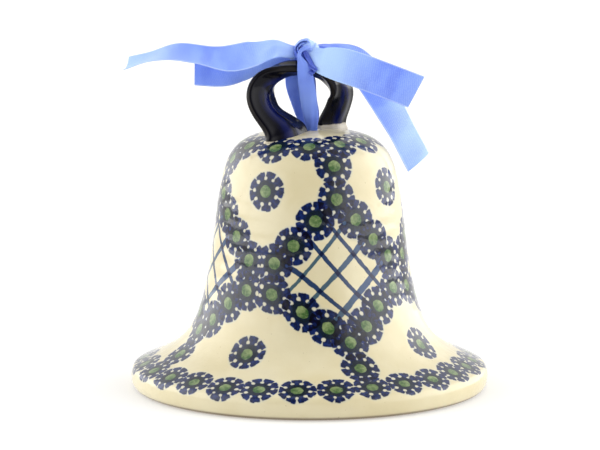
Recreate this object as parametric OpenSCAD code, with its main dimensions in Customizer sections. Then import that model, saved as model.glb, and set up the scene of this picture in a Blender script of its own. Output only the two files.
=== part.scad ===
// Hand bell of glazed stoneware: a flared body with a twisted strap handle,
// a satin ribbon bow tied over the handle, and a ceramic clapper bead hung
// on a ribbon under the crown.
//
// The bell stands on its rim. The origin is the centre of the rim's foot ring,
// +Z points up through the crown, and the body's axis is the Z axis.
// -Y is the side that the handle's left foot leans towards.

/* [Bell body] */
// Largest radius, at the middle of the rounded lip
rim_r = 62.5; // [60:0.5:66]
// Height of the crown above the foot ring
crown_z = 90.6; // [88:0.2:93]
// Radius at the foot of the straight waist
waist_r = 34.1; // [33:0.1:36]
// Radius at the top of the straight waist, where the shoulder begins
shoulder_r = 32.1; // [31:0.1:33]
// Thickness of the thrown wall
wall = 4.6; // [4:0.1:5.2]
// Width of the flat unglazed foot ring
foot_w = 3; // [2:0.1:4]
// Radius of the ribbon hole in the crown
hole_r = 3.5; // [3.4:0.05:3.8]

/* [Handle] */
// Half width of the strap where it crosses the top of the loop
strap_half_w = 5.5; // [5:0.1:6]
// Half thickness of the strap at the top of the loop
strap_half_t = 2.6; // [2.3:0.05:2.8]
// Depth of the grooves between the three ribs, as a share of the thickness
groove = 0.16; // [0:0.01:0.22]

/* [Ribbon] */
// Width of the flat satin ribbon
ribbon_w = 12; // [11:0.5:12]
// Thickness of the flat ribbon
ribbon_t = 0.5; // [0.4:0.05:0.6]
// Radius of the bow's knot
knot_r = 4.3; // [4:0.1:4.5]

/* [Clapper] */
// Radius of the ceramic clapper bead
bead_r = 9.5; // [8.5:0.1:9.8]
// Distance from the pivot under the crown down to the bead's centre
hang = 57.3; // [54:0.1:58]
// Radius of the stopper knot that hangs under the crown hole
stopper_r = 4.2; // [4:0.1:4.4]

/* [Hidden] */

// Steps along each curve of the body's outline, and around turned pieces
curve_steps = 14;
turned_fn = 96;

// Height of the lip's widest point, and the point where the flare leaves the lip
lip_z = 4.2;
lip_top = [rim_r - 1.5, 8];
// Heights between which the waist is a plain cone
waist_z = 49.7;
shoulder_z = 65.4;
// The foot ring's outer radius
foot_r = rim_r - 2.2;

// Knots: the bow's knot sits on the strap's top, a little to the front
knot_at = [-1.7, -1.4, 119.5];
knot_half_h = 3.9;
// The stopper knot hangs just under the crown, and the clapper swings about it
stopper_gap = 0.5;
pivot_z = crown_z - wall - stopper_gap - stopper_r;
bead_z = pivot_z - hang;
bead_half_h = 8.6;
bore_r = 2.2;
strap_gap = 0.5;

// ---- curves -------------------------------------------------------------

// One point of a cubic curve with two end points and two handles
function cubic(p, t) =
    pow(1 - t, 3) * p[0] + 3 * pow(1 - t, 2) * t * p[1]
    + 3 * (1 - t) * t * t * p[2] + pow(t, 3) * p[3];

// Points along such a curve, without its last one
function cubic_run(p, n) = [for (i = [0 : n - 1]) cubic(p, i / n)];

// A smooth curve through a list of stations, n steps between two stations
function through(s, n) = [
    for (i = [0 : len(s) - 2])
        let (a = s[max(i - 1, 0)], b = s[i], c = s[i + 1], d = s[min(i + 2, len(s) - 1)])
            for (k = [0 : (i == len(s) - 2 ? n : n - 1)])
                let (t = k / n)
                    b + 0.5 * t * (c - a + t * (2 * a - 5 * b + 4 * c - d + t * (3 * b - a - 3 * c + d)))
];

function unit(v) = v / norm(v);

// ---- outline of the body --------------------------------------------------

function lip_lower() = [[foot_r, 0], [foot_r + 1.6, 0.5], [rim_r, 2.2], [rim_r, lip_z]];
function lip_upper() = [[rim_r, lip_z], [rim_r, 5.8], lip_top + [1.1, -0.52], lip_top];
function flare() = [lip_top, [43.2, 16.4], [38.7, 17.3], [waist_r, waist_z]];
function shoulder() =
    [[shoulder_r, shoulder_z], [29.3, crown_z - 6.9], [27.3, crown_z - 0.5], [hole_r, crown_z]];

function outer_points() = concat(
    cubic_run(lip_lower(), 5),
    cubic_run(lip_upper(), 5),
    cubic_run(flare(), curve_steps),
    cubic_run(shoulder(), curve_steps),
    [[hole_r, crown_z]]);

// A point of the inner wall: the wall's thickness in from a point of a curve
function inside_of(p, t) =
    let (d = unit(cubic(p, min(t + 0.01, 1)) - cubic(p, max(t - 0.01, 0))))
        cubic(p, t) + wall * [-d[1], d[0]];

function inner_points() = concat(
    [[foot_r - foot_w, 0], [foot_r - foot_w - 0.8, 3]],
    [for (i = [1 : curve_steps - 1]) inside_of(flare(), 0.03 + 0.97 * i / curve_steps)],
    [inside_of(flare(), 1)],
    [for (i = [0 : curve_steps - 2]) inside_of(shoulder(), 0.98 * i / curve_steps)],
    [[hole_r, crown_z - wall]]);

function reversed(list) = [for (i = [len(list) - 1 : -1 : 0]) list[i]];

// ---- strips swept along stations ------------------------------------------
// A station is [x, y, z, azimuth and tilt of the width, half width, half thickness].

function width_dir(s, tangent) =
    let (w = [cos(s[3]) * cos(s[4]), sin(s[3]) * cos(s[4]), sin(s[4])])
        unit(w - (w * tangent) * tangent);

function ring(s, tangent, section) =
    let (w = width_dir(s, tangent), n = cross(tangent, w))
        [for (q = section) [s[0], s[1], s[2]] + s[5] * q[0] * w + s[6] * q[1] * n];

module swept(stations, section, steps) {
    run = through(stations, steps);
    count = len(run);
    sides = len(section);
    points = [
        for (i = [0 : count - 1])
            let (a = run[max(i - 1, 0)], b = run[min(i + 1, count - 1)])
                each ring(run[i], unit([b[0] - a[0], b[1] - a[1], b[2] - a[2]]), section)
    ];
    side_faces = [
        for (i = [0 : count - 2], j = [0 : sides - 1])
            let (a = i * sides + j, b = i * sides + (j + 1) % sides)
                each [[a, b, b + sides], [a, b + sides, a + sides]]
    ];
    polyhedron(
        points = points,
        faces = concat(
            [for (f = side_faces) [f[2], f[1], f[0]]],
            [[for (j = [0 : sides - 1]) j]],
            [[for (j = [sides - 1 : -1 : 0]) (count - 1) * sides + j]]),
        convexity = 6);
}

// Section of the strap: a flat oval whose two faces carry three rounded ribs
strap_sides = 28;
strap_section = [
    for (i = [0 : strap_sides - 1])
        let (a = 360 * i / strap_sides, u = cos(a), side = sin(a) > 0 ? 1 : (sin(a) < 0 ? -1 : 0))
            [u, side * sqrt(max(1 - pow(abs(u), 3), 0)) * (1 - groove + groove * cos(540 * u))]
];

flat_section = [[-1, -1], [1, -1], [1, 1], [-1, 1]];

// The same cloth is thicker where it is gathered to less than its full width
function gathered(s) = concat(s, [ribbon_t * ribbon_w / (4 * s[5])]);

module ribbon_strip(stations) {
    difference() {
        swept([for (s = stations) gathered(s)], flat_section, 4);
        knot_solid(0.1);
    }
}

module knot_solid(grow) {
    half_h = knot_half_h + grow;
    r = knot_r + grow;
    translate(knot_at)
        rotate_extrude($fn = 48)
            polygon([for (a = [-90 : 15 : 90]) [max(r * cos(a), 0), half_h * sin(a)]]);
}

// ---- stations, in millimetres and degrees -----------------------------------

// The strap rises from a foot at the front left, turns as it climbs, crosses
// over the top and comes down to a foot at the back right.
handle_stations = [
    [-8.2, -9.4, 86.5, 36, 0, 8.4, 4.6],
    [-8.8, -8.8, 91.6, 38, -4, 8.2, 3.5],
    [-14.2, -7.5, 97.2, 42, -8, 6.5, 2.8],
    [-17.0, -5.4, 103.0, 48, 0, 6.2, 2.8],
    [-14.8, -3.5, 108.1, 62, 0, 6.0, 3.0],
    [-8.6, -1.4, 111.6, 90, 0, 5.6, 2.8],
    [-2.5, 0.0, 112.2, 105, 0, strap_half_w, strap_half_t],
    [4.2, 1.4, 111.0, 90, 0, 5.6, 2.9],
    [9.0, 3.4, 107.0, 66, 0, 6.0, 3.2],
    [11.1, 5.0, 102.5, 48, 0, 6.0, 2.7],
    [9.8, 6.2, 97.3, 42, 6, 5.8, 2.6],
    [7.8, 7.0, 92.0, 38, 4, 5.8, 2.7],
    [7.6, 7.0, 86.5, 36, 0, 6.0, 2.9]
];

// Ribbon stations leave out the thickness, which follows from the width.
left_long = [
    [-4.9, -3.2, 118.0, 90, 58, 2.3],
    [-7.6, -4.2, 118.8, 90, 54, 2.8],
    [-12.5, -5.2, 119.5, 90, 45, 4.1],
    [-20.0, -6.0, 117.1, 90, 40, 6.0],
    [-29.0, -6.5, 115.6, 90, 40, 6.0],
    [-40.0, -6.0, 117.3, 90, 26, 6.0],
    [-47.0, -5.0, 118.2, 92, 19, 6.0],
    [-55.5, -4.0, 116.6, 94, 14, 6.0],
    [-63.4, -3.0, 114.3, 97, 11, 6.0]
];
left_short = [
    [-4.5, 0.4, 118.0, 90, 60, 2.2],
    [-9.0, 1.2, 117.5, 90, 66, 2.9],
    [-15.5, 1.9, 116.1, 90, 72, 4.2],
    [-22.0, 2.2, 112.9, 90, 72, 5.6],
    [-30.0, 1.5, 111.2, 90, 70, 6.0],
    [-40.0, 0.5, 111.8, 90, 66, 6.0]
];
right_front = [
    [0.9, -4.8, 117.2, 90, 82, 2.4],
    [2.9, -6.8, 115.7, 90, 82, 4.2],
    [5.2, -7.7, 115.2, 90, 83, 5.1],
    [9.5, -8.6, 114.4, 90, 84, 5.9],
    [16.0, -9.0, 112.6, 90, 84, 6.0],
    [26.0, -9.6, 109.0, 90, 82, 6.0],
    [37.0, -10.0, 105.2, 90, 78, 6.0]
];
right_drop = [
    [1.5, -0.4, 119.0, 80, 30, 2.3],
    [5.0, 0.2, 119.0, 80, 18, 3.4],
    [10.0, 0.4, 118.1, 75, 12, 5.0],
    [15.6, 0.0, 114.6, 60, 10, 6.0],
    [21.2, -1.0, 107.6, 45, 10, 6.0],
    [27.2, -1.5, 98.6, 40, 8, 6.0],
    [32.4, -2.0, 89.2, 40, 4, 6.0],
    [37.4, -2.0, 79.2, 40, 2, 6.0]
];
// The two strands run from the knot, in front of and behind the strap's top,
// down through the crown hole, side by side.
front_down = [
    [-2.2, -5.6, 117.2, 0, 0, 2.2],
    [-2.1, -6.9, 112.6, 4, 0, 2.7],
    [-1.4, -6.4, 107.5, 8, 0, 3.0],
    [-0.4, -4.6, 101.0, 10, 0, 3.1],
    [0.5, -2.3, 95.0, 6, 0, 2.7],
    [0.4, -1.2, 90.6, 2, 0, 2.2],
    [0.3, -1.2, 86.2, 0, 0, 2.1]
];
back_down = [
    [-2.9, 3.0, 118.2, 0, 0, 2.4],
    [-3.4, 6.6, 115.0, -2, 0, 3.4],
    [-3.7, 7.2, 111.0, -4, 0, 4.6],
    [-3.2, 6.0, 106.0, -6, 0, 5.4],
    [-2.0, 4.2, 100.0, -4, 0, 4.5],
    [-0.5, 2.4, 94.8, 0, 0, 4.0],
    [0.2, 1.15, 90.2, 0, 0, 2.3],
    [0.2, 1.15, 86.2, 0, 0, 2.2]
];

// ---- sub-parts --------------------------------------------------------------

// Thrown body: rounded lip, flared skirt, straight waist, closed round shoulder
module bell_body() {
    color("ivory")
        rotate_extrude($fn = turned_fn)
            polygon(concat(outer_points(), reversed(inner_points())));
}

// Strap handle, cut to the crown that it is fixed to
module handle() {
    color("midnightblue")
        difference() {
            swept(handle_stations, strap_section, 5);
            rotate_extrude($fn = turned_fn)
                polygon(concat([[0, 0]], outer_points(), [[0, crown_z]]));
        }
}

module bow_knot() {
    color("cornflowerblue") knot_solid(0);
}

module tail_left_long() {
    color("cornflowerblue") ribbon_strip(left_long);
}

module tail_left_short() {
    color("cornflowerblue") ribbon_strip(left_short);
}

module tail_right_front() {
    color("cornflowerblue") ribbon_strip(right_front);
}

module tail_right_drop() {
    color("cornflowerblue") ribbon_strip(right_drop);
}

module strand_front() {
    color("cornflowerblue") ribbon_strip(front_down);
}

module strand_back() {
    color("cornflowerblue") ribbon_strip(back_down);
}

// Knot in the clapper's ribbon, too large to slip up through the crown hole
module stopper_knot() {
    color("cornflowerblue")
        translate([0, 0, pivot_z])
            sphere(r = stopper_r, $fn = 48);
}

// Ribbon down to the bead and through its bore, with an end knot below it
module clapper_ribbon() {
    top_z = pivot_z - stopper_r - strap_gap;
    bead_top = bead_z + bead_half_h;
    bead_bottom = bead_z - bead_half_h;
    strap_w = 5;
    strap_t = 1.4;
    bore_w = 3.2;
    end_knot_r = 3.2;
    color("cornflowerblue")
        union() {
            translate([-strap_w / 2, -strap_t / 2, bead_top + strap_gap])
                cube([strap_w, strap_t, top_z - bead_top - strap_gap]);
            translate([-bore_w / 2, -strap_t / 2, bead_bottom - end_knot_r])
                cube([bore_w, strap_t, 2 * bead_half_h + strap_gap + end_knot_r + 1]);
            translate([0, 0, bead_bottom - strap_gap - end_knot_r])
                sphere(r = end_knot_r, $fn = 40);
        }
}

// Bead, a ball flattened at its two ends, with a straight bore for the ribbon
module clapper_bead() {
    flat_a = asin(bead_half_h / bead_r);
    color("midnightblue")
        translate([0, 0, bead_z])
            rotate_extrude($fn = 72)
                polygon(concat(
                    [[bore_r, -bead_half_h]],
                    [for (i = [0 : 20]) let (a = flat_a * (i / 10 - 1)) bead_r * [cos(a), sin(a)]],
                    [[bore_r, bead_half_h]]));
}

bell_body();
handle();
bow_knot();
tail_left_long();
tail_left_short();
tail_right_front();
tail_right_drop();
strand_front();
strand_back();
stopper_knot();
clapper_ribbon();
clapper_bead();
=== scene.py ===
# A hand bell of glazed stoneware with hand-stamped flowers, a cobalt strap
# handle and a satin ribbon bow. The scene is in metres, in the CAD frame: +Z up,
# the bell's axis on Z, the bell standing on its rim at z = 0. Shapes are worked out
# in millimetres, and MM turns them into metres.
import math

import bpy
import numpy as np
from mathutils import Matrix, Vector


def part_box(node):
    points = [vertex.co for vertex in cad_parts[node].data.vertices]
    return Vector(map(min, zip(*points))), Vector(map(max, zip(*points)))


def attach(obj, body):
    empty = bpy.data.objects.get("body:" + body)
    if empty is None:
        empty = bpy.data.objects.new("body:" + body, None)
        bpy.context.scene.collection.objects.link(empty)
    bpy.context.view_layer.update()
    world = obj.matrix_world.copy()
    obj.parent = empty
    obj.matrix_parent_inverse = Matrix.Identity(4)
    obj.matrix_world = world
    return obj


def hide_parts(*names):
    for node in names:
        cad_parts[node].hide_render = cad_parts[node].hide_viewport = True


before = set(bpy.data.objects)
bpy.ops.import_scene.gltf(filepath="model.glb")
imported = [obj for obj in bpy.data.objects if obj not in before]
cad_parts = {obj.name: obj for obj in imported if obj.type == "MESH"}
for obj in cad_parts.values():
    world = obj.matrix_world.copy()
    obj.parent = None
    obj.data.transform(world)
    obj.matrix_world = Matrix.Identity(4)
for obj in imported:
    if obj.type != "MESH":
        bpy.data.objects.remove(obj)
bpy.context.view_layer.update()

MM = 0.001
BELL_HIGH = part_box("bell_body")[1]
RIM_R = BELL_HIGH.x / MM
CROWN_Z = BELL_HIGH.z / MM
WALL = 4.6
FOOT_R = RIM_R - 2.2
FOOT_W = 3.0
HOLE_R = 3.5
RIBBON_W = 12.0
RIBBON_T = 0.26


# ---- camera, light and floor -----------------------------------------------------------


def make_camera():
    """The camera looks along +Y, a little down on the bell."""
    distance, elevation, lens = 1300.0, math.radians(9.0), 223.4
    aim = Vector((-3.4, 0.0, 56.84))
    away = Vector((0, -math.cos(elevation), math.sin(elevation)))
    data = bpy.data.cameras.new("camera")
    data.lens = lens
    data.sensor_width = 36.0
    data.clip_end = 50.0
    cam = bpy.data.objects.new("camera", data)
    bpy.context.scene.collection.objects.link(cam)
    cam.location = (aim + distance * away) * MM
    cam.rotation_euler = (math.radians(90) - elevation, 0, 0)
    bpy.context.scene.camera = cam


def make_light():
    """A pale tent: dark behind the camera, brightest at its two sides, dimmer overhead."""
    world = bpy.data.worlds.new("tent")
    bpy.context.scene.world = world
    world.use_nodes = True
    t = Tree(world.node_tree)
    back = t.find("BACKGROUND")
    x, y, z = t.split(t.node("ShaderNodeTexCoord").outputs["Generated"])
    bright = t.ramp_step(y, -0.90, 0.30, 0.11, 1.05)
    bright = t.add(bright, t.ramp_step(x, 0.20, 0.95, 0.0, 3.0))
    bright = t.add(bright, t.ramp_step(x, -0.25, -0.95, 0.0, 2.7))
    bright = t.mul(bright, t.ramp_step(z, 0.55, 0.98, 1.0, 0.70))
    t.put(back.inputs["Strength"], bright)
    back.inputs["Color"].default_value = (1.0, 0.995, 0.985, 1)


def make_floor():
    """A wide, plain, pale floor that glows faintly, a hair below the foot ring."""
    half, drop = 9.0, 0.2 * MM
    mesh = bpy.data.meshes.new("floor")
    corners = [(-half, -half, 0), (half, -half, 0), (half, half, 0), (-half, half, 0)]
    mesh.from_pydata(corners, [], [(0, 1, 2, 3)])
    floor = bpy.data.objects.new("floor", mesh)
    bpy.context.scene.collection.objects.link(floor)
    floor.location.z = -drop
    material, _, shader = principled("pale_floor")
    shader.inputs["Base Color"].default_value = (0.55, 0.55, 0.55, 1)
    shader.inputs["Emission Color"].default_value = (1.0, 0.98, 0.94, 1)
    shader.inputs["Emission Strength"].default_value = 0.38
    shader.inputs["Roughness"].default_value = 0.9
    shader.inputs["Specular IOR Level"].default_value = 0.1
    mesh.materials.append(material)


# ---- shader building -------------------------------------------------------------------


class Tree:
    """Adds shader nodes to one node tree. A value is a socket or a plain number."""

    def __init__(self, node_tree):
        self.tree = node_tree

    def find(self, kind):
        return next(n for n in self.tree.nodes if n.type == kind)

    def put(self, socket, value):
        """Links a socket to a value, or sets it."""
        if isinstance(value, bpy.types.NodeSocket):
            self.tree.links.new(value, socket)
        else:
            socket.default_value = value

    def node(self, kind, values=None, **settings):
        """A new node, with its settings and the values of its inputs."""
        made = self.tree.nodes.new(kind)
        for key, value in settings.items():
            setattr(made, key, value)
        for key, value in (values or {}).items():
            self.put(made.inputs[key], value)
        return made

    def math(self, operation, a, b=0.0, c=0.0):
        return self.node("ShaderNodeMath", {0: a, 1: b, 2: c}, operation=operation).outputs[0]

    def add(self, a, b):
        return self.math("ADD", a, b)

    def sub(self, a, b):
        return self.math("SUBTRACT", a, b)

    def mul(self, a, b):
        return self.math("MULTIPLY", a, b)

    def mul_add(self, a, b, c):
        """a * b + c"""
        return self.math("MULTIPLY_ADD", a, b, c)

    def most(self, a, b):
        """The larger of two numbers."""
        return self.math("MAXIMUM", a, b)

    def size(self, a):
        """The number without its sign."""
        return self.math("ABSOLUTE", a)

    def distance(self, x, y):
        """How far the point x, y is from 0, 0."""
        return self.math("SQRT", self.mul_add(x, x, self.mul(y, y)))

    def ramp_step(self, x, low, high, start=0.0, end=1.0):
        """A smooth step from start at low to end at high."""
        values = {"Value": x, "From Min": low, "From Max": high, "To Min": start, "To Max": end}
        return self.node("ShaderNodeMapRange", values, interpolation_type="SMOOTHSTEP").outputs[0]

    def mix(self, share, a, b, blend="MIX"):
        """Two colours blended: the Mix node's colour sockets are its inputs 6 and 7, output 2."""
        made = self.node("ShaderNodeMix", data_type="RGBA", blend_type=blend)
        for index, value in ((0, share), (6, a), (7, b)):
            self.put(made.inputs[index], value)
        return made.outputs[2]

    def noise(self, place, scale, detail=2.0, roughness=0.5, output="Fac"):
        values = {"Vector": place, "Scale": scale, "Detail": detail, "Roughness": roughness}
        return self.node("ShaderNodeTexNoise", values).outputs[output]

    def random(self, seed):
        """Three random numbers for a seed."""
        made = self.node("ShaderNodeTexWhiteNoise", {"W": seed}, noise_dimensions="1D")
        return self.split_color(made.outputs["Color"])

    def attribute(self, name):
        return self.node("ShaderNodeAttribute", attribute_name=name).outputs["Fac"]

    def place(self):
        """The point on the object, in millimetres."""
        at = self.node("ShaderNodeTexCoord").outputs["Object"]
        values = {0: at, "Scale": 1.0 / MM}
        return self.node("ShaderNodeVectorMath", values, operation="SCALE").outputs[0]

    def join(self, x, y, z=0.0):
        return self.node("ShaderNodeCombineXYZ", {0: x, 1: y, 2: z}).outputs[0]

    def split(self, vector):
        return self.node("ShaderNodeSeparateXYZ", {0: vector}).outputs

    def split_color(self, color):
        return self.node("ShaderNodeSeparateColor", {0: color}).outputs

    def bump(self, height, strength, distance, normal=None):
        values = {"Height": height, "Strength": strength, "Distance": distance}
        if normal is not None:
            values["Normal"] = normal
        return self.node("ShaderNodeBump", values).outputs[0]


def principled(name):
    """A new material, its tree, and its Principled shader."""
    material = bpy.data.materials.new(name)
    material.use_nodes = True
    t = Tree(material.node_tree)
    return material, t, t.find("BSDF_PRINCIPLED")


# ---- meshes ----------------------------------------------------------------------------


def new_piece(name, points, faces, body, materials):
    """A smooth mesh object from points in millimetres, riding on a CAD body."""
    mesh = bpy.data.meshes.new(name)
    mesh.from_pydata([tuple(p) for p in np.asarray(points) * MM], [], faces)
    mesh.update()
    for material in materials:
        mesh.materials.append(material)
    mesh.polygons.foreach_set("use_smooth", [True] * len(mesh.polygons))
    piece = bpy.data.objects.new(name, mesh)
    bpy.context.scene.collection.objects.link(piece)
    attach(piece, body)
    return piece


def soften(piece, passes):
    """Rounds the edges of a piece's mesh a little, without moving its flat parts."""
    soft = piece.modifiers.new("soft_edges", "SMOOTH")
    soft.factor = 0.5
    soft.iterations = passes


def give(piece, name, values):
    """Stores one number a vertex as a mesh attribute that materials can read."""
    layer = piece.data.attributes.new(name, "FLOAT", "POINT")
    layer.data.foreach_set("value", np.asarray(values, np.float32).ravel())


def grid_faces(rows, columns, closed):
    """Faces of a grid of points, closed round the columns or open."""
    last = columns if closed else columns - 1
    faces = []
    for i in range(rows - 1):
        for j in range(last):
            k = (j + 1) % columns
            faces.append((i * columns + j, i * columns + k,
                          (i + 1) * columns + k, (i + 1) * columns + j))
    return faces


def turned_faces(rows, columns):
    """Faces of a turned skin whose outline is closed, so that its last ring joins its first."""
    base = (rows - 1) * columns
    seam = [(base + j, base + (j + 1) % columns, (j + 1) % columns, j) for j in range(columns)]
    return grid_faces(rows, columns, True) + seam


def turns(columns):
    """The angles of a turned skin's columns, all round."""
    return 2 * math.pi * np.arange(columns) / columns


def cubic(p, steps):
    """Points along a cubic curve with two end points and two handles, without its last."""
    t = np.arange(steps)[:, None] / steps
    p = np.asarray(p, float)
    return ((1 - t) ** 3 * p[0] + 3 * (1 - t) ** 2 * t * p[1]
            + 3 * (1 - t) * t * t * p[2] + t ** 3 * p[3])


def through(stations, steps):
    """A smooth curve through a list of stations, with steps points between two."""
    s = np.asarray(stations, float)
    run = []
    for i in range(len(s) - 1):
        a, b, c, d = s[max(i - 1, 0)], s[i], s[i + 1], s[min(i + 2, len(s) - 1)]
        for k in range(steps):
            t = k / steps
            run.append(b + 0.5 * t * (c - a + t * (2 * a - 5 * b + 4 * c - d
                                                   + t * (3 * b - a - 3 * c + d))))
    run.append(s[-1])
    return np.array(run)


def relax(run, passes):
    """Evens out a run of numbers or stations, keeping its ends."""
    run = run.copy()
    for _ in range(passes):
        run[1:-1] = 0.25 * run[:-2] + 0.5 * run[1:-1] + 0.25 * run[2:]
    return run


def frames_along(run):
    """Tangent, width and normal directions at each station of a run."""
    line = run[:, :3]
    tangent = np.gradient(line, axis=0)
    tangent /= np.linalg.norm(tangent, axis=1)[:, None]
    azimuth, tilt = np.radians(run[:, 3]), np.radians(run[:, 4])
    width = np.stack([np.cos(azimuth) * np.cos(tilt), np.sin(azimuth) * np.cos(tilt),
                      np.sin(tilt)], 1)
    width -= (width * tangent).sum(1)[:, None] * tangent
    width /= np.linalg.norm(width, axis=1)[:, None]
    return tangent, width, np.cross(tangent, width)


def lengths_along(line):
    """How far along a line each of its points is."""
    steps = np.linalg.norm(np.diff(line, axis=0), axis=1)
    return np.concatenate([[0], np.cumsum(steps)])


# ---- the bell's body -------------------------------------------------------------------

# how high the rounded lip reaches, and how far the hole's edge is rounded over
LIP_TOP_Z = 8.0
HOLE_ROUND = 0.35


def outer_outline():
    """Radius and height along the outside, from the foot to the ribbon hole."""
    foot = [FOOT_R, 0.0]
    lip = [RIM_R, 4.2]
    lip_top = [RIM_R - 1.5, LIP_TOP_Z]
    waist, shoulder = np.array([34.1, 49.7]), np.array([32.1, 65.4])
    third = (shoulder - waist) / 3
    hole = [HOLE_R, CROWN_Z]
    parts = [
        cubic([foot, [FOOT_R + 1.6, 0.5], [RIM_R, 2.2], lip], 12),
        cubic([lip, [RIM_R, 5.8], [RIM_R - 0.4, LIP_TOP_Z - 0.52], lip_top], 12),
        cubic([lip_top, [43.2, 16.4], [38.7, 17.3], waist], 84),
        cubic([waist, waist + third, waist + 2 * third, shoulder], 22),
        cubic([shoulder, [29.3, CROWN_Z - 6.9], [27.3, CROWN_Z - 0.5], hole], 64),
        [[HOLE_R + HOLE_ROUND, CROWN_Z - 0.02], [HOLE_R, CROWN_Z - 0.4]],
    ]
    return np.vstack(parts)


def inner_outline(outer):
    """The inside of the wall, from the ribbon hole down to the foot ring."""
    along = np.gradient(outer, axis=0)
    along /= np.linalg.norm(along, axis=1)[:, None]
    inside = outer + WALL * np.stack([-along[:, 1], along[:, 0]], 1)
    # the wall's inside starts above the foot's hollow and ends short of the hole
    keep = (inside[:, 1] > 3.4) & (outer[:, 1] > LIP_TOP_Z) & (inside[:, 0] > HOLE_R + 0.4)
    keep[-3:] = False
    wall = inside[keep][::-1][::2]
    hole = [[HOLE_R, CROWN_Z - WALL + 0.4], [HOLE_R + HOLE_ROUND, CROWN_Z - WALL]]
    foot_in = FOOT_R - FOOT_W
    foot = [[foot_in - 0.8, 3.0], [foot_in - 0.25, 0.5], [foot_in, 0.0]]
    return np.vstack([hole, wall, foot])


def throwing_marks(radius, height, turn):
    """How far the potter's hands left the wall from a true round, in millimetres."""
    spiral = 0.05 * np.sin(2 * math.pi * height / 5.2 + turn)
    oval = 0.10 * np.sin(2 * turn + 0.6) * np.sin(height / 23.0)
    three_sided = 0.07 * np.sin(3 * turn - 1.1 + height / 31.0)
    return (spiral + oval + three_sided) * np.clip(radius / 30.0, 0, 1)


def make_body():
    """The bell's thrown wall: one closed skin, glazed outside and inside, with a bare foot."""
    outer = outer_outline()
    outline = np.vstack([outer, inner_outline(outer)])
    rows, columns, foot_rings = len(outline), 420, 3
    turn = turns(columns)
    radius, height = outline[:, :1], outline[:, 1:]
    above_foot = height > 0.3
    r = radius + throwing_marks(radius, height, turn[None, :]) * above_foot
    points = np.stack([r * np.sin(turn), -r * np.cos(turn), np.broadcast_to(height, r.shape)], -1)
    faces = turned_faces(rows, columns)
    piece = new_piece("glazed_body", points.reshape(-1, 3), faces, "bell",
                      [stamped_glaze(), plain_glaze(), bare_foot()])
    # millimetres up the outside from the foot, and far below any stamp on the inside
    run = np.full(rows, -50.0)
    run[:len(outer)] = lengths_along(outer)
    give(piece, "run", np.repeat(run, columns))
    slots = np.zeros(len(faces), int)
    slots[(len(outer) - 1) * columns:] = 1
    slots[(rows - foot_rings) * columns:] = 2
    piece.data.polygons.foreach_set("material_index", slots)
    piece.data.update()
    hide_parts("bell_body")


# ---- the stamped glaze -----------------------------------------------------------------

# a flower's radius to the tips of its petals
STAMP_R = 6.8
CREAM = (0.635, 0.575, 0.39, 1)
WHITE = (1, 1, 1, 1)

# The wall has four equal panels. Places on it are degrees from a panel's middle and
# millimetres of run, which is the way up the outside from the foot. PANEL_AT is where
# one panel's middle is, in degrees from the front towards the right.
PANEL = 90.0
PANEL_AT = 15.7
# the diamond: its middle's run, and its reach in degrees and in millimetres
DIAMOND_RUN, DIAMOND_DEGREES, DIAMOND_REACH = 58.8, 38.0, 25.5
# flowers on the panel's middle
MIDDLE_FLOWERS = ((1.7, 95.4), (1.7, 83.3), (0.5, 34.6), (1.6, 23.7))
# flowers in pairs, left and right of the middle; the right one is raised by the third
# value and the left one lowered by it
PAIRED_FLOWERS = ((12.7, 76.2, 0.1), (25.0, 68.5, 0.9), (36.6, 62.2, 0.2), (37.2, 51.2, 0.4),
                  (22.3, 46.0, 0.4), (10.8, 39.8, -0.3))
# single flowers between two panels
BORDER_FLOWERS = ((-0.7, 85.7), (0.2, 29.9))
# rings: degrees a flower, run, rise towards the right, first flower, flattening
RINGS = ((360 / 28, 13.25, 0.9, -4.1, 1.12), (30.0, 104.0, 2.0, -1.6, 1.0))
# brushed lines: run where they cross the middle, and their sag or slope
FALLING_LINES = ((72.2, 0.0), (58.7, 0.2), (45.8, 1.15))
RISING_LINES = ((71.6, 0.70), (58.7, 0.60), (45.4, 0.52))


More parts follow.
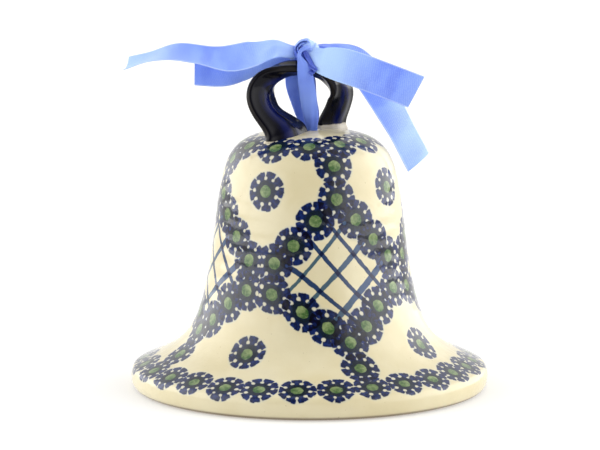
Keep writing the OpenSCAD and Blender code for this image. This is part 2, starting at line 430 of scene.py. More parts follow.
def stamp_group():
    """One stamped flower: nine blunt petals with keyhole gaps round a green dot.

    Its inputs are the place across and up from the flower's middle, in millimetres,
    a seed, how thinly the ink lies, and the colour under it. Its output is that
    colour with the flower's tint."""
    group = bpy.data.node_groups.new("stamped_flower", "ShaderNodeTree")
    for name in ("Across", "Up", "Seed", "Patch"):
        group.interface.new_socket(name, in_out="INPUT", socket_type="NodeSocketFloat")
    group.interface.new_socket("Under", in_out="INPUT", socket_type="NodeSocketColor")
    group.interface.new_socket("Tint", in_out="OUTPUT", socket_type="NodeSocketColor")
    t = Tree(group)
    given = t.node("NodeGroupInput").outputs
    petals, misplaced = 9, 0.9
    knob_ring, flare_ring = 0.67 * STAMP_R, 0.83 * STAMP_R
    r1, r2, r3 = t.random(given["Seed"])
    x = t.mul_add(t.sub(r1, 0.5), misplaced, given["Across"])
    y = t.mul_add(t.sub(r2, 0.5), misplaced, given["Up"])
    r = t.distance(x, y)
    angle = t.mul_add(t.math("ARCTAN2", y, x), petals / (2 * math.pi), t.mul(r3, petals))
    number = t.math("FLOOR", angle)
    off = t.size(t.sub(t.sub(angle, number), 0.5))
    p1, p2, p3 = t.random(t.mul_add(number, 3.7, given["Seed"]))
    gap_off = t.mul(t.mul(off, 2 * math.pi / petals), r)
    # keyhole: a round end, and a neck out to the edge
    knob_r = t.mul_add(p1, 0.30, 0.52)
    knob = t.sub(t.distance(t.sub(r, knob_ring), gap_off), knob_r)
    flare = t.mul(t.most(t.sub(r, flare_ring), 0.0), 0.32)
    neck = t.most(t.sub(t.sub(gap_off, flare), t.mul_add(p2, 0.20, 0.06)), t.sub(knob_ring, r))
    gap = t.math("MINIMUM", knob, neck)
    reach = t.mul_add(p3, 0.45, STAMP_R - 0.3)
    inked = t.math("SMOOTH_MIN", t.sub(reach, r), gap, 0.55)
    ink = t.ramp_step(inked, -0.24, 0.14)
    halo = t.mul(t.ramp_step(inked, -1.0, -0.1), t.ramp_step(r, STAMP_R + 0.9, STAMP_R - 0.2))
    dot = t.ramp_step(t.sub(0.305 * STAMP_R, r), -0.20, 0.16)
    heart = t.ramp_step(r, 0.70 * STAMP_R, 0.44 * STAMP_R)
    navy = t.mix(given["Patch"], (0.004, 0.012, 0.095, 1), (0.012, 0.040, 0.27, 1))
    petal = t.mix(t.mul(heart, 0.85), navy, (0.008, 0.020, 0.034, 1))
    # painted highlight: the green dot is paler on one side, a random side that leans upwards, and
    # paler where the ink lies thinly
    side = t.add(t.mul(x, t.sub(r1, 0.5)), t.mul(y, t.sub(r2, 0.2)))
    pale_and_painted_highlight = t.mul_add(given["Patch"], 0.5, t.ramp_step(side, -0.5, 0.9, 0.0, 0.6))
    green = t.mix(pale_and_painted_highlight, (0.055, 0.165, 0.065, 1), (0.36, 0.52, 0.34, 1))
    # ink bleeds a little into the glaze round the petals, which turns it bluish
    bled = t.mix(1.0, given["Under"], (0.80, 0.90, 1.16, 1), "MULTIPLY")
    tint = t.mix(t.mul(halo, 0.75), given["Under"], bled)
    tint = t.mix(ink, tint, t.mix(1.0, tint, petal, "MULTIPLY"))
    # the green dot is laid over the ink ring, so it hides what is below
    tint = t.mix(dot, tint, green)
    t.node("NodeGroupOutput", {"Tint": tint})
    return group


def nearest_mark(t, theta, start, step):
    """Degrees from the nearest of the marks that lie step apart, and that mark's number."""
    share = t.math("DIVIDE", t.sub(theta, start), step)
    number = t.math("ROUND", share)
    return t.mul(t.sub(share, number), step), number


def painted_line(t, across, run, slant, start, half_width):
    """How strongly a brushed line covers a point: run = start + slant * across."""
    # the line's distance square across, for each millimetre of run, and its soft edge
    squarely, soft = 0.64, 0.12
    far = t.size(t.sub(run, t.mul_add(across, slant, start)))
    return t.ramp_step(t.sub(t.mul(far, squarely), half_width), soft, -soft)


def lattice(t, phi, run, wobble):
    """The brushed lattice inside each diamond, as a tint."""
    inside = t.add(t.math("DIVIDE", t.size(phi), DIAMOND_DEGREES),
                   t.math("DIVIDE", t.size(t.sub(run, DIAMOND_RUN)), DIAMOND_REACH))
    inside = t.ramp_step(inside, 1.0, 0.93)
    run = t.mul_add(wobble, 0.9, run)
    # the falling lines sag left of the middle, the lowest of them most
    sag = t.mul(t.most(t.mul(phi, -1.0), 0.0), t.mul(phi, 0.006))
    falling = [painted_line(t, phi, t.sub(run, t.mul(sag, bend)), -0.73, start, 0.74)
               for start, bend in FALLING_LINES]
    # the rising lines are thin and pale at the left, broad and deep at the right
    fade = t.ramp_step(phi, -22.0, 24.0)
    width = t.mul_add(fade, 0.46, 0.56)
    rising = [painted_line(t, phi, run, slope, start, width) for start, slope in RISING_LINES]
    over, under = (t.mul(t.most(a, t.most(b, c)), inside) for a, b, c in (falling, rising))
    blue = t.mix(fade, (0.085, 0.18, 0.35, 1), (0.045, 0.105, 0.38, 1))
    navy = t.mix(over, WHITE, (0.028, 0.070, 0.28, 1))
    return t.mix(1.0, t.mix(under, WHITE, blue), navy, "MULTIPLY")


def glaze_finish(t, shader, place, rough, waves=0.35, ior=1.44):
    """The clear glaze over a body: gloss, faint ripple and fine pinholes."""
    shader.inputs["IOR"].default_value = ior
    cloud = t.noise(place, 0.09, 3.0)
    t.put(shader.inputs["Roughness"], t.mul_add(cloud, 0.06, rough))
    ripple = t.noise(place, 0.22, 2.0, 0.55)
    pits = t.noise(place, 2.1, 2.0)
    normal = t.bump(ripple, waves, 0.6 * MM)
    t.put(shader.inputs["Normal"], t.bump(pits, 0.06, 0.2 * MM, normal))


def cream_clay(t, place):
    """Cream glaze on stoneware: warm clouds and sparse iron specks."""
    cloud = t.noise(place, 0.045, 3.0)
    warm = t.mix(t.ramp_step(cloud, 0.35, 0.68), CREAM, (0.59, 0.520, 0.325, 1))
    fine = t.noise(place, 0.8, 3.0)
    warm = t.mix(t.mul(fine, 0.10), warm, (0.55, 0.48, 0.30, 1))
    specks = t.noise(place, 1.25, 1.0)
    speck = t.mul(t.ramp_step(specks, 0.765, 0.80), 0.5)
    return t.mix(speck, warm, (0.16, 0.10, 0.05, 1))


def stamped_glaze():
    """The outside: cream glaze over stamped flowers and brushed lattices."""
    material, t, shader = principled("stamped_glaze")
    place = t.place()
    x, y, _ = t.split(place)
    theta = t.math("DEGREES", t.math("ARCTAN2", x, t.mul(y, -1.0)))
    arc = t.mul(t.distance(x, y), math.pi / 180)
    run = t.attribute("run")
    # the hand's shake moves every stamp's edge a little
    shake = t.split_color(t.noise(place, 0.55, 2.0, output="Color"))
    wobble = t.sub(shake[0], 0.5)
    shake_x, shake_y = t.mul(wobble, 0.75), t.mul(t.sub(shake[1], 0.5), 0.75)
    patch = t.ramp_step(t.noise(place, 0.85, 3.0, 0.6), 0.38, 0.68)
    flower = stamp_group()

    def stamp(under, degrees, up, seed):
        values = {"Across": t.mul_add(degrees, arc, shake_x), "Up": t.add(up, shake_y),
                  "Seed": seed, "Patch": patch, "Under": under}
        made = t.node("ShaderNodeGroup", node_tree=flower)
        for name, value in values.items():
            t.put(made.inputs[name], value)
        return made.outputs[0]

    phi, panel = nearest_mark(t, theta, PANEL_AT, PANEL)
    edge, border = nearest_mark(t, theta, PANEL_AT + PANEL / 2, PANEL)
    side = t.math("SIGN", phi)
    # the painter's rows drift to the right below the waist
    phi = t.sub(phi, t.ramp_step(run, 54.0, 37.0, 0.0, 4.0))
    tint = lattice(t, phi, run, wobble)
    panel_seed = t.mul_add(panel, 10.0, 3.1)
    for number, (degrees, up) in enumerate(MIDDLE_FLOWERS):
        seed = t.add(panel_seed, 31.7 * (number + 1))
        tint = stamp(tint, t.sub(phi, degrees), t.sub(run, up), seed)
    folded = t.size(phi)
    side_seed = t.mul_add(side, 2.3, panel_seed)
    for number, (degrees, up, tip) in enumerate(PAIRED_FLOWERS):
        seed = t.add(side_seed, 41.3 * (number + 1))
        level = t.mul_add(side, -tip, t.sub(run, up))
        tint = stamp(tint, t.sub(folded, degrees), level, seed)
    for number, (degrees, up) in enumerate(BORDER_FLOWERS):
        seed = t.mul_add(border, 7.0, 150.0 + 20 * number)
        tint = stamp(tint, t.sub(edge, degrees), t.sub(run, up), seed)
    sway = t.math("SINE", t.math("RADIANS", t.sub(theta, 8.0)))
    for step, up, lift, start, flat in RINGS:
        across, number = nearest_mark(t, theta, start, step)
        level = t.mul(t.mul_add(sway, -lift, t.sub(run, up)), flat)
        seed = t.mul_add(number, 3.3, 400.0 + step)
        tint = stamp(tint, across, level, seed)
    color = t.mix(1.0, cream_clay(t, place), tint, "MULTIPLY")
    # painted shade: the lowest 2.3 mm of the outside is darkened to brown, for the dark line where
    # the rim meets the floor
    color = t.mix(t.ramp_step(run, 2.3, 1.3, 0.0, 0.85), color, (0.17, 0.13, 0.085, 1))
    t.put(shader.inputs["Base Color"], color)
    glaze_finish(t, shader, place, 0.07)
    return material


def plain_glaze():
    """The inside: the same cream glaze with no stamps, a little duller."""
    material, t, shader = principled("inside_glaze")
    place = t.place()
    t.put(shader.inputs["Base Color"], cream_clay(t, place))
    glaze_finish(t, shader, place, 0.12)
    return material


def bare_foot():
    """The unglazed ring that the bell stands on: dry tan clay with grog."""
    material, t, shader = principled("bare_clay")
    grog = t.noise(t.place(), 2.4, 4.0, 0.7)
    t.put(shader.inputs["Base Color"],
          t.mix(t.ramp_step(grog, 0.3, 0.7), (0.55, 0.40, 0.24, 1), (0.68, 0.53, 0.34, 1)))
    shader.inputs["Roughness"].default_value = 0.85
    t.put(shader.inputs["Normal"], t.bump(grog, 0.5, 0.3 * MM))
    return material


# ---- the strap handle ------------------------------------------------------------------

# stations: x, y, z, azimuth and tilt of the width, half width, half thickness
HANDLE = [
    [-8.2, -9.4, 86.5, 36, 0, 8.4, 4.6], [-9.3, -8.8, 91.6, 38, -4, 8.2, 3.5],
    [-14.9, -7.5, 97.2, 42, -8, 6.6, 2.8], [-17.0, -5.4, 103.0, 46, 0, 6.5, 2.8],
    [-14.7, -3.5, 108.2, 48, 0, 6.1, 3.0], [-8.7, -1.4, 111.7, 74, 0, 5.5, 2.8],
    [-2.5, 0.0, 112.1, 96, 0, 5.4, 2.7], [4.0, 1.4, 110.9, 90, 0, 5.6, 2.9],
    [8.8, 3.4, 106.9, 66, 0, 6.0, 3.2], [10.9, 5.0, 102.5, 48, 0, 6.1, 2.7],
    [9.7, 6.2, 97.3, 42, 6, 5.8, 2.6], [7.6, 7.0, 92.0, 38, 4, 5.8, 2.7],
    [7.6, 7.0, 86.5, 36, 0, 6.0, 2.9],
]


def make_handle():
    """A pulled strap, ribbed along its edges and faces, pressed on to the crown at both feet."""
    run = relax(through(HANDLE, 14), 24)
    # the section turns more evenly than the strap's middle line bends
    _, width, normal = frames_along(relax(run, 60))
    rows, sides = len(run), 96
    turn = turns(sides)
    across = np.cos(turn)
    thick = np.sign(np.sin(turn)) * np.sqrt(np.clip(1 - np.abs(across) ** 3, 0, None))
    ribs = 0.84 + 0.16 * np.cos(4 * turn)
    # the clay spreads where it was pressed on, and is slightly uneven along the strap
    above = run[:, 2] - CROWN_Z
    spread = np.exp(-np.clip(above, 0, None) / 1.3)
    along = lengths_along(run[:, :3])
    half_w = run[:, 5] + spread + 0.07 * np.sin(along * 0.5)
    half_t = run[:, 6] + 1.1 * spread + 0.05 * np.sin(along * 0.4 + 1)
    points = (run[:, None, :3]
              + np.outer(half_w, across)[:, :, None] * width[:, None, :]
              + np.outer(half_t, thick * ribs)[:, :, None] * normal[:, None, :])
    faces = grid_faces(rows, sides, True)
    faces += [tuple(range(sides - 1, -1, -1)),
              tuple((rows - 1) * sides + j for j in range(sides))]
    piece = new_piece("strap_handle", points.reshape(-1, 3), faces, "bell", [cobalt_glaze()])
    give(piece, "along", np.repeat(along, sides))
    give(piece, "rib", np.tile(ribs, rows))
    give(piece, "across", np.tile(across, rows))
    soften(piece, 6)
    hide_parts("handle")


def cobalt_glaze():
    """Glossy blue-black glaze: brown where it is thin on the ribs, cobalt beside them."""
    material, t, shader = principled("cobalt_glaze")
    place = t.place()
    along, across, rib = (t.attribute(name) for name in ("along", "across", "rib"))
    streaks = t.noise(t.join(t.mul(along, 0.07), t.mul(across, 1.4)), 1.5, 2.0)
    away = t.size(across)
    middle = t.mul(t.ramp_step(away, 0.55, 0.15), t.ramp_step(streaks, 0.36, 0.58))
    blue = t.mix(middle, (0.002, 0.002, 0.005, 1), (0.004, 0.007, 0.062, 1))
    edges = t.mul(t.ramp_step(rib, 0.84, 0.98), t.ramp_step(away, 0.55, 0.85))
    thin = t.mul(edges, t.ramp_step(streaks, 0.62, 0.40, 0.35, 1.0))
    fine = t.noise(place, 0.9, 3.0)
    brown = t.mix(fine, (0.006, 0.005, 0.0045, 1), (0.020, 0.017, 0.015, 1))
    dark = t.mix(thin, blue, brown)
    # bare cream slip shows just above the crown at the back foot
    _, y, z = t.split(place)
    edge = t.add(t.ramp_step(y, -2.0, 3.0, CROWN_Z - 2.6, CROWN_Z + 0.75),
                 t.mul(t.noise(place, 0.45, 2.0), 0.8))
    slip = t.ramp_step(t.sub(z, edge), 0.22, -0.22)
    t.put(shader.inputs["Base Color"], t.mix(slip, dark, (0.56, 0.50, 0.38, 1)))
    glaze_finish(t, shader, place, 0.13, waves=0.05, ior=1.24)
    return material


# ---- ribbon ----------------------------------------------------------------------------

# spacing of the layers where the ribbon is gathered
LAYER = 0.50
# points across a ribbon's face
FACE = 61


def satin():
    """Periwinkle satin: fine slanted floats, firm selvedges, soft sheen. Light and shade are
    painted into its colour: a single layer is painted paler for the light that comes
    through it and gathered ribbon darker, one mesh attribute paints highlights where the
    satin's floats would catch the light, and another paints shade into creases and hollows."""
    material, t, shader = principled("satin_ribbon")
    along, across = t.attribute("along"), t.attribute("across")
    slanted = t.math("SINE", t.mul_add(along, 8.6, t.mul(across, 4.6)))
    dimples = t.math("SINE", t.mul_add(along, 3.9, t.mul(across, -9.5)))
    grain = t.noise(t.join(across, along), 1.9, 3.0, 0.65)
    floats = t.mul_add(t.mul(slanted, t.mul_add(dimples, 0.4, 0.6)), 0.20, grain)
    selvedge = t.ramp_step(t.size(across), 5.5, 5.7)
    cloud = t.noise(t.join(t.mul(across, 0.6), t.mul(along, 1.2)), 0.11, 2.0)
    cloud = t.ramp_step(cloud, 0.36, 0.62)
    # painted light: a single layer is painted paler for the light that comes through it, gathered
    # ribbon darker for the shade in its folds
    single = t.mix(cloud, (0.118, 0.212, 0.84, 1), (0.180, 0.305, 0.93, 1))
    gathered = t.mix(cloud, (0.062, 0.135, 0.66, 1), (0.095, 0.19, 0.76, 1))
    blue = t.mix(t.ramp_step(t.attribute("layers"), 1.0, 1.9), single, gathered)
    blue = t.mix(t.mul(t.ramp_step(floats, 0.34, 0.80), 0.42), blue, (0.42, 0.56, 1.0, 1))
    blue = t.mix(t.mul(selvedge, 0.55), blue, (0.50, 0.62, 1.0, 1))
    # painted highlight: paler blue where the ribbon's floats would catch the light
    blue = t.mix(t.attribute("pale_and_painted_highlight"), blue, (0.50, 0.72, 1.0, 1))
    # painted shade: deep blue where a crease, fold or hollow lies
    blue = t.mix(t.attribute("painted_crease_shade"), blue, (0.020, 0.030, 0.34, 1))
    t.put(shader.inputs["Base Color"], blue)
    t.put(shader.inputs["Roughness"], t.mul_add(grain, 0.14, 0.34))
    shader.inputs["Sheen Weight"].default_value = 0.06
    shader.inputs["Sheen Roughness"].default_value = 0.35
    shader.inputs["Sheen Tint"].default_value = (0.80, 0.88, 1.0, 1)
    shader.inputs["Specular IOR Level"].default_value = 0.45
    height = t.mul_add(selvedge, 0.8, floats)
    t.put(shader.inputs["Normal"], t.bump(height, 0.45, 0.14 * MM))
    return material


def folded_section(half_w):
    """Across and depth for each point over a 12 mm ribbon that is folded to a half width:
    a flat face, with the rest turned behind it, back and forth. The third value is how
    much is gathered, from 0 for a flat ribbon."""
    gather = 1 - min(half_w / (RIBBON_W / 2), 1)
    # more of the ribbon is turned behind at one side
    a = np.linspace(-RIBBON_W / 2, RIBBON_W / 2, FACE) + 1.8 * gather
    side = np.sign(a)
    turns_back = np.maximum(np.abs(a) - half_w, 0) / (2 * half_w)
    zigzag = np.abs((turns_back + 1) % 2 - 1)
    across = np.where(turns_back > 0, side * half_w * (1 - 2 * zigzag), a)
    spacing = min(LAYER, 1.5 / max(turns_back.max(), 0.1))
    # the two sides' layers lie one behind the other
    depth = -spacing * turns_back * np.where(side > 0, 2.0, 1.0)
    return relax(across, 2), relax(depth, 2), gather


def ribbon(name, stations, material, body="bell", side=1.0, bulge=0.35, pleat=0.10, curl=0.4,
           ripple=0.15, phase=0.0, slant=0.0, painted_crease_shade=0.0, relaxed=10, pale_and_painted_highlight=(0.0, 0.0)):
    """A 12 mm satin ribbon along stations of [x, y, z, azimuth and tilt of the width,
    half width]. side is 1 where the face looks along tangent x width, or -1.

    Where the ribbon is gathered, bulge rounds its face and pleat ridges it; where it is
    flat, curl cups it. ripple waves it along its length, and phase shifts the waves.
    slant moves the cut end's two corners apart along the ribbon. relaxed is how often
    the stations are evened out. painted_crease_shade is how much shade is painted into its
    colour, and pale_and_painted_highlight how much highlight is painted at even steps along the
    run."""
    run = relax(through(stations, 16), relaxed)
    line = run[:, :3]
    along = lengths_along(line)
    tangent, width, normal = frames_along(run)
    normal = normal * side
    q = np.linspace(-1, 1, FACE)
    cut_reach = 8.0
    points = np.zeros((len(run), FACE, 3))
    layers = np.zeros((len(run), FACE))
    for i, station in enumerate(run):
        half_w = min(station[5], RIBBON_W / 2)
        across, depth, gather = folded_section(half_w)
        share = across / half_w
        folded = min(4 * gather, 1)
        depth -= bulge * half_w * share ** 2 * min(3 * gather, 1)
        depth += pleat * folded * np.sin(7 * share + phase + 0.25 * along[i])
        depth += (1 - folded) * curl * (0.33 - share ** 2)
        depth += ripple * np.sin(along[i] * 0.30 + 1.6 * share + phase)
        points[i] = line[i] + np.outer(across, width[i]) + np.outer(depth, normal[i])
        cut = max(1 - (along[-1] - along[i]) / cut_reach, 0)
        points[i] += np.outer(slant * q * cut, tangent[i])
        layers[i] = 1 + folded
    piece = new_piece(name, points.reshape(-1, 3), grid_faces(len(run), FACE, False),
                      body, [material])
    give(piece, "along", np.repeat(along, FACE))
    give(piece, "across", np.tile(q * RIBBON_W / 2, len(run)))
    give(piece, "layers", layers)
    # shade painted into the ribbon's colour, the same all along it
    give(piece, "painted_crease_shade", np.full(layers.shape, painted_crease_shade))
    # highlight painted at even steps along the run
    painted_highlight_along = np.interp(along / along[-1], np.linspace(0, 1, len(pale_and_painted_highlight)), pale_and_painted_highlight)
    give(piece, "pale_and_painted_highlight", np.repeat(painted_highlight_along, FACE))
    solid = piece.modifiers.new("thickness", "SOLIDIFY")
    solid.thickness = RIBBON_T * MM
    solid.offset = 0.0
    return piece, float(along[-1])


# each run's stations: x, y, z, azimuth and tilt of the width, half width
LEFT_LONG = [
    [-4.6, -3.4, 118.0, 90, 58, 2.2], [-7.6, -4.4, 118.8, 90, 54, 2.8],
    [-12.5, -5.4, 120.0, 90, 45, 4.4], [-20.0, -6.2, 117.3, 90, 42, 6.0],
    [-29.0, -6.5, 115.7, 90, 40, 6.0], [-40.0, -6.0, 117.3, 90, 26, 6.0],
    [-47.0, -5.0, 117.8, 92, 18, 6.0], [-55.5, -4.0, 115.9, 94, 12, 6.0],
    [-63.4, -3.0, 113.5, 97, 8, 6.0],
]
LEFT_SHORT = [
    [-4.5, 0.6, 116.9, 90, 44, 3.0], [-9.0, 0.8, 116.1, 90, 40, 3.7],
    [-15.5, 1.6, 115.8, 90, 50, 4.6], [-22.0, 2.2, 113.5, 90, 66, 5.6],
    [-30.0, 1.5, 111.2, 90, 70, 6.0], [-40.0, 0.5, 111.8, 90, 66, 6.0],
]
RIGHT_FRONT = [
    [-1.2, -4.2, 118.4, 90, 80, 2.0], [0.6, -5.1, 117.5, 90, 78, 2.9],
    [2.9, -6.6, 115.9, 90, 74, 4.3], [5.2, -7.4, 115.2, 90, 72, 5.1],
    [9.5, -8.4, 114.4, 90, 73, 5.9], [16.0, -9.0, 112.5, 90, 80, 6.0],
    [26.0, -9.6, 108.8, 90, 88, 6.0], [36.7, -10.0, 104.8, 90, 80, 6.0],
]
RIGHT_DROP = [
    [1.5, -0.4, 119.0, 80, 30, 2.3], [5.0, 0.2, 119.6, 80, 24, 3.4],
    [10.0, 0.6, 118.4, 70, 24, 5.0], [15.6, 0.6, 115.1, 48, 26, 6.0],
    [21.2, -0.3, 108.6, 26, 16, 6.0], [27.0, -1.4, 99.6, 32, 8, 6.0],
    [32.8, -2.0, 89.4, 38, 4, 6.0], [38.1, -2.0, 79.3, 40, 2, 6.0],
]
STRAND_FRONT = [
    [1.4, -4.2, 119.3, 0, -70, 0.8], [-1.0, -5.9, 119.6, 0, -80, 0.8],
    [-3.0, -6.6, 118.8, 0, -40, 0.7], [-3.7, -6.9, 117.2, 0, -8, 0.7],
    [-3.2, -7.2, 115.6, 0, 0, 1.2], [-2.3, -7.4, 113.2, 2, 0, 2.2],
    [-1.4, -7.1, 109.3, 6, 0, 2.8], [-0.9, -6.3, 105.5, 8, 0, 2.9],
    [-0.3, -4.9, 101.0, 10, 0, 3.0], [0.5, -2.7, 95.0, 6, 0, 2.5],
    [0.7, -1.4, 90.6, 2, 0, 2.0], [0.4, -1.2, 86.2, 0, 0, 2.0],
]
STRAND_BACK = [
    [-2.9, 3.0, 118.2, 0, 0, 2.4], [-3.4, 6.6, 115.0, -2, 0, 3.4],
    [-3.7, 7.2, 111.0, -4, 0, 4.6], [-3.2, 6.0, 106.0, -6, 0, 5.4],
    [-2.0, 4.2, 100.0, -4, 0, 4.6], [-0.5, 2.4, 94.8, 0, 0, 4.0],
    [0.2, 1.15, 90.2, 0, 0, 2.3], [0.2, 1.15, 86.2, 0, 0, 2.2],
]
# the bow's knot: a band over its top, an open loop at its left, a lobe at its right,
# a deep fold below, and a gather towards the left tails
KNOT_DOME = [
    [0.0, -4.8, 117.6, 0, 0, 1.8], [-0.1, -5.2, 119.15, 0, -6, 2.2],
    [-0.3, -4.2, 121.05, 0, -8, 2.4], [-0.8, -1.6, 122.35, 0, -8, 2.7],
    [-1.3, 1.5, 121.55, 0, -4, 3.0], [-1.6, 3.1, 119.35, 0, 0, 2.9],
    [-1.7, 3.0, 117.2, 0, 0, 2.4],
]
KNOT_ARCH = [
    [-3.6, -4.4, 116.6, 90, 16, 1.0], [-4.9, -3.6, 118.2, 90, 10, 1.3],
    [-5.2, -3.1, 119.55, 90, 5, 1.7], [-4.4, -2.8, 121.05, 90, 0, 2.0],
    [-2.8, -2.5, 122.15, 90, 0, 2.1], [-0.9, -2.6, 122.15, 90, 0, 1.8],
    [0.8, -3.0, 120.75, 90, 0, 1.4],
]
KNOT_LOBE = [
    [0.4, -4.9, 118.4, 0, -60, 1.5], [1.5, -4.6, 119.45, 0, -45, 1.6],
    [2.1, -2.9, 120.45, 0, -38, 1.7], [2.2, -0.4, 120.55, 0, -35, 1.7],
    [1.9, 1.8, 119.35, 0, -40, 1.6], [1.2, 2.9, 118.0, 0, -45, 1.4],
]
KNOT_FOLD = [
    [-2.6, -3.5, 121.0, 0, -30, 0.9], [-1.8, -4.8, 118.9, 0, -30, 1.0],
    [-0.8, -5.5, 116.8, 0, -28, 1.2], [0.1, -6.3, 115.4, 0, -32, 1.2],
    [0.9, -7.1, 114.2, 0, -36, 1.1], [1.9, -7.7, 113.1, 0, -40, 0.9],
    [2.7, -8.0, 112.4, 0, -42, 0.8],
]
KNOT_GATHER = [
    [-0.2, -5.3, 115.5, 90, 80, 1.5], [-2.8, -4.9, 117.0, 90, 74, 1.9],
    [-4.8, -3.9, 118.2, 90, 66, 2.0], [-7.0, -3.6, 118.9, 90, 56, 2.1],
    [-10.2, -4.2, 119.6, 90, 50, 1.8],
]
KNOT_AT = (-1.7, -1.0, 119.2)


def declare(piece, length, held, rests_on, *nodes):
    """Hides the CAD nodes that a run of ribbon stands for. The size that it was cut to is not
    used.
    """
    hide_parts(*nodes)


def make_tails(material):
    """The bow's four cut ends."""
    # each tail's highlights are painted at even steps from the knot to its cut end
    looks = {
        "tail_left_long": dict(stations=LEFT_LONG, side=-1, curl=-0.7, ripple=0.35, slant=-0.4,
                               pale_and_painted_highlight=(0.4, 0.45, 0.15, 0.0, 0.1, 0.3, 0.5)),
        "tail_left_short": dict(stations=LEFT_SHORT, side=-1, curl=0.5, phase=1.0, slant=0.3,
                                pale_and_painted_highlight=(0.1, 0.45, 0.4, 0.15, 0.15)),
        "tail_right_front": dict(stations=RIGHT_FRONT, curl=0.8, phase=0.5, slant=0.8,
                                 bulge=0.15, pale_and_painted_highlight=(0.5, 0.8, 0.6, 0.25, 0.0, 0.0, 0.3)),
        "tail_right_drop": dict(stations=RIGHT_DROP, curl=0.8, phase=2.0, slant=-0.7,
                                pale_and_painted_highlight=(0.0, 0.0, 0.0, 0.1, 0.15, 0.2, 0.2)),
    }
    for node, look in looks.items():
        piece, length = ribbon("satin_" + node, material=material, **look)
        declare(piece, length, "folded", ["bow_knot"], node)


def make_strands(material):
    """The two runs from the knot down into the crown hole, before and behind the handle."""
    # the front strand's highlights are painted at even steps from the knot down
    looks = {
        "strand_front": dict(stations=STRAND_FRONT, phase=0.4, bulge=0.22, pleat=0.06, relaxed=6,
                             pale_and_painted_highlight=(0.15, 0.1, 0.05, 0.15, 0.0, 0.0)),
        "strand_back": dict(stations=STRAND_BACK, phase=1.9, bulge=0.12, pleat=0.10),
    }
    for node, look in looks.items():
        piece, length = ribbon("satin_" + node, material=material, **look)
        declare(piece, length, "hung", ["handle", "bell_body"], node)


def make_bow_knot(material):
    """The bow's knot: five folded runs of ribbon round a wound core."""
    # the dome, arch and lobe have highlights painted at even steps along them
    looks = {
        "dome": dict(stations=KNOT_DOME, side=-1, bulge=0.5, pleat=0.12,
                     pale_and_painted_highlight=(0.1, 0.4, 0.6, 0.5, 0.3, 0.2, 0.1)),
        "arch": dict(stations=KNOT_ARCH, bulge=0.2, pleat=0.05, pale_and_painted_highlight=(0.0, 0.3, 0.1)),
        "lobe": dict(stations=KNOT_LOBE, side=-1, bulge=0.5, phase=1.0, pale_and_painted_highlight=(0.2, 0.5, 0.3)),
        # the fold is painted dark with painted shade
        "fold": dict(stations=KNOT_FOLD, bulge=0.3, painted_crease_shade=0.5),
        "gather": dict(stations=KNOT_GATHER, side=-1, bulge=0.4, pleat=0.16),
    }
    for part, look in looks.items():
        piece, length = ribbon("satin_knot_" + part, material=material, ripple=0.0, relaxed=6,
                               **look)
        declare(piece, length, "folded", ["handle"], "bow_knot")
    # painted shade: the wound core is painted deep blue
    core = wound_knot("satin_knot_core", KNOT_AT, 3.3, "bell", material, squeeze=0.9, painted_crease_shade=0.8)
    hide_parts("bow_knot")


def wound_knot(name, centre, radius, body, material, squeeze=1.0, painted_crease_shade=0.1):
    """A tight knot: three crossing turns of gathered ribbon on a ball."""
    rows, columns = 56, 96
    up = np.linspace(-0.5 * math.pi, 0.5 * math.pi, rows)[:, None]
    turn = turns(columns)[None, :]
    out = np.stack([np.cos(up) * np.cos(turn), np.cos(up) * np.sin(turn),
                    np.sin(up) * np.ones_like(turn)], -1)
    relief = np.full(out.shape[:2], 0.72)
    across = np.zeros(out.shape[:2])
    along = np.zeros(out.shape[:2])
    # each band's axis, half width as a share of the radius, and height
    bands = (((0.15, 0.97, 0.2), 0.52, 0.90), ((0.90, -0.15, 0.42), 0.46, 0.96),
             ((-0.50, 0.40, 0.77), 0.40, 1.00))
    for axis, half, height in bands:
        axis = np.array(axis) / np.linalg.norm(axis)
        first = np.cross(axis, (0.3, 0.5, 0.8))
        first /= np.linalg.norm(first)
        second = np.cross(axis, first)
        share = (out @ axis) / half
        angle = np.arctan2(out @ second, out @ first)
        pleats = 0.025 * np.cos(9 * share + 2 * np.sin(angle))
        rise = height - 0.16 * share ** 2 + pleats
        over = (np.abs(share) < 1) & (rise > relief)
        relief = np.where(over, rise, relief)
        across = np.where(over, 5.0 * share, across)
        along = np.where(over, radius * angle, along)
    points = radius * relief[..., None] * out * (1, 1, squeeze) + np.array(centre)
    piece = new_piece(name, points.reshape(-1, 3), grid_faces(rows, columns, True), body,
                      [material])
    give(piece, "across", across)
    give(piece, "along", along)
    give(piece, "layers", np.full(across.shape, 2.0))
    # a faint painted highlight all over the knot
    give(piece, "pale_and_painted_highlight", np.full(across.shape, 0.1))
    # painted shade, deepest in the hollows between the turns
    give(piece, "painted_crease_shade", np.clip(painted_crease_shade + 2.0 * (0.86 - relief), 0, 1))
    soften(piece, 3)
    return piece


# ---- what hangs inside -----------------------------------------------------------------

# the stopper's height, which the ribbon swings from, and the bead's height and size
PIVOT_Z = 81.3
BEAD_Z = 24.0
BEAD_R = 9.5
BEAD_HALF_H = 8.6
BORE_R = 2.2


def make_stopper(material):
    """The knot under the crown that stops the strands from slipping out."""
    knot = wound_knot("satin_stopper", (0, 0, PIVOT_Z), 4.2, "hanger", material)
    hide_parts("stopper_knot")


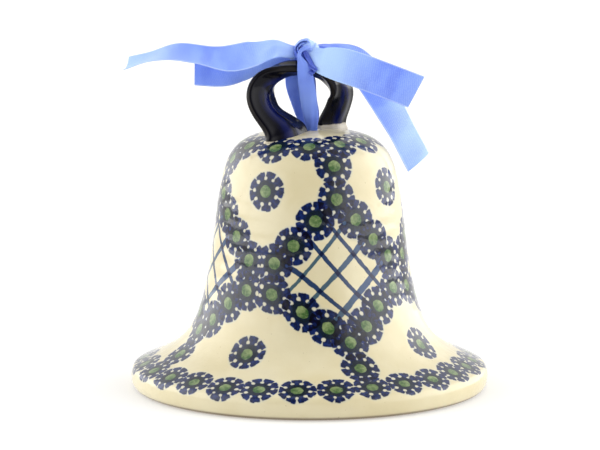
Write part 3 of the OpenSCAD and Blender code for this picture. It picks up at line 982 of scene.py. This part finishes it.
def make_clapper_ribbon(material):
    """The ribbon folded narrow, down through the bead, with a knot under it."""
    bottom = BEAD_Z - BEAD_HALF_H
    stations = [[0, 0, 76.6, 0, 0, 1.9], [0, 0, 73.0, 4, 0, 2.3], [0, 0, 60.0, 20, 0, 2.4],
                [0, 0, 46.0, 8, 0, 2.4], [0, 0, 36.5, -6, 0, 2.2], [0, 0, 32.0, 0, 0, 1.5],
                [0, 0, bottom, 0, 0, 1.5], [0, 0, bottom - 2.2, 0, 0, 1.4]]
    piece, length = ribbon("satin_clapper_ribbon", stations, material, body="clapper",
                           bulge=0.1, pleat=0.05, ripple=0.0)
    declare(piece, length, "hung", ["stopper_knot"], "clapper_ribbon")
    knot = wound_knot("satin_end_knot", (0, 0, bottom - 3.7), 3.2, "clapper", material)
    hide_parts("clapper_ribbon")


def make_bead():
    """A thrown clay bead with rounded ends at its bore, dipped in the cobalt glaze."""
    flat = math.asin(BEAD_HALF_H / BEAD_R)
    angle = np.linspace(-flat, flat, 61)
    ball = BEAD_R * np.stack([np.cos(angle), np.sin(angle)], 1)
    lip = 0.5
    end = np.array([[BORE_R, 0.0], [BORE_R + 0.15, 0.28], [BORE_R + lip, 0.45]])
    low = end * (1, -1) + (0, -BEAD_HALF_H + lip)
    high = end[::-1] + (0, BEAD_HALF_H - lip)
    outline = np.vstack([low, ball, high])
    rows, columns = len(outline), 120
    turn = turns(columns)
    r, z = outline[:, :1], outline[:, 1:]
    wobble = 0.06 * np.sin(2 * turn + z / 4) + 0.05 * np.sin(z * 2.4 + turn) - 0.1
    r = r + wobble * np.clip((r - 4) / 3, 0, 1)
    points = np.stack([r * np.cos(turn), r * np.sin(turn),
                       np.broadcast_to(z + BEAD_Z, r.shape)], -1)
    piece = new_piece("glazed_bead", points.reshape(-1, 3), turned_faces(rows, columns),
                      "clapper", [bead_glaze()])
    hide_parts("clapper_bead")


def bead_glaze():
    """Cobalt glaze that breaks to brown at the bore's edges and drips a little."""
    material, t, shader = principled("bead_glaze")
    place = t.place()
    x, y, _ = t.split(place)
    cloud = t.noise(place, 0.22, 3.0)
    blue = t.mix(t.ramp_step(cloud, 0.38, 0.66), (0.006, 0.008, 0.035, 1), (0.016, 0.026, 0.17, 1))
    bare = t.ramp_step(t.mul_add(cloud, 2.2, t.distance(x, y)), 5.2, 4.6)
    fine = t.noise(place, 1.4, 3.0)
    clay = t.mix(fine, (0.50, 0.36, 0.21, 1), (0.64, 0.50, 0.32, 1))
    t.put(shader.inputs["Base Color"], t.mix(bare, blue, clay))
    glaze_finish(t, shader, place, 0.08)
    return material


# ---- the scene -------------------------------------------------------------------------

make_camera()
make_light()
make_floor()
make_body()
make_handle()
ribbon_cloth = satin()
make_tails(ribbon_cloth)
make_strands(ribbon_cloth)
make_bow_knot(ribbon_cloth)
make_stopper(ribbon_cloth)
make_clapper_ribbon(ribbon_cloth)
make_bead()
bpy.context.scene.view_settings.view_transform = "Standard"
